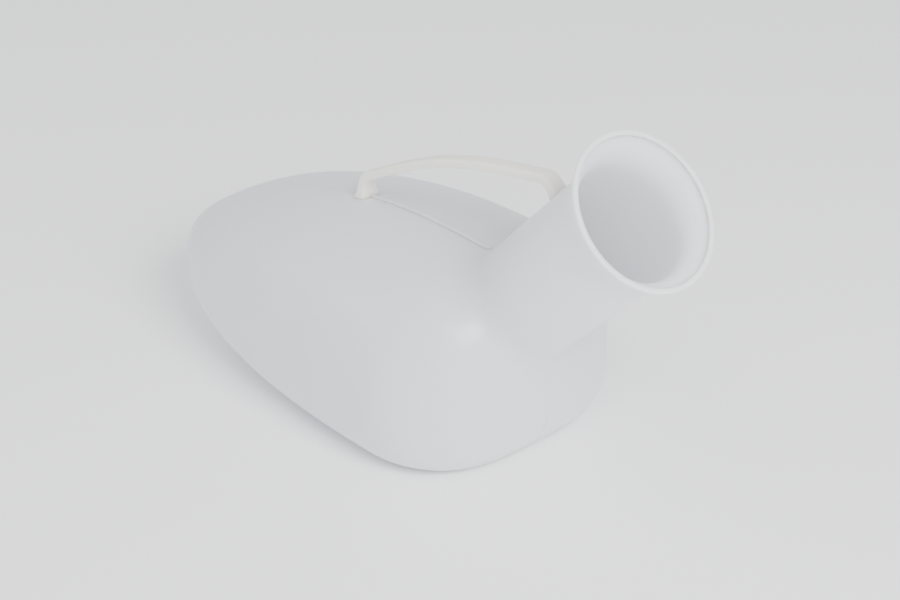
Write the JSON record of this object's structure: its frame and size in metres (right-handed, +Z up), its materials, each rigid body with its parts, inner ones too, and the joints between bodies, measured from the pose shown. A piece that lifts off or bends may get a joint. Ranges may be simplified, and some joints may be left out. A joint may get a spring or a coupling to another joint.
{
  "type": "urine bottle",
  "caption": "Lying teardrop bottle with a flat base, a slanting neck that flares to an open rimmed mouth, and a strap handle from its back to the neck; it collects urine from a patient in bed.",
  "frame": {"origin": "on the base plane, under the middle of the whole bottle's box", "axes": "+X along the bottle from the tail to the mouth, +Y across it to the left, +Z up from the base"},
  "size_m": [0.266, 0.122, 0.1462],
  "materials": {
    "blown_wall": "milky translucent polyethylene, blow moulded, soft satin skin",
    "rim": "trimmed polyethylene lip, satin",
    "strap": "solid polyethylene strap, satin, a little warmer because it is thick",
    "weld": "raised pinch-off weld in the same polyethylene"
  },
  "bodies": {
    "root": {"left_shell": "blown_wall", "right_shell": "blown_wall", "mouth_rim": "rim", "carry_handle": "strap", "pinch_off_weld": "weld"}
  },
  "joints": []
}
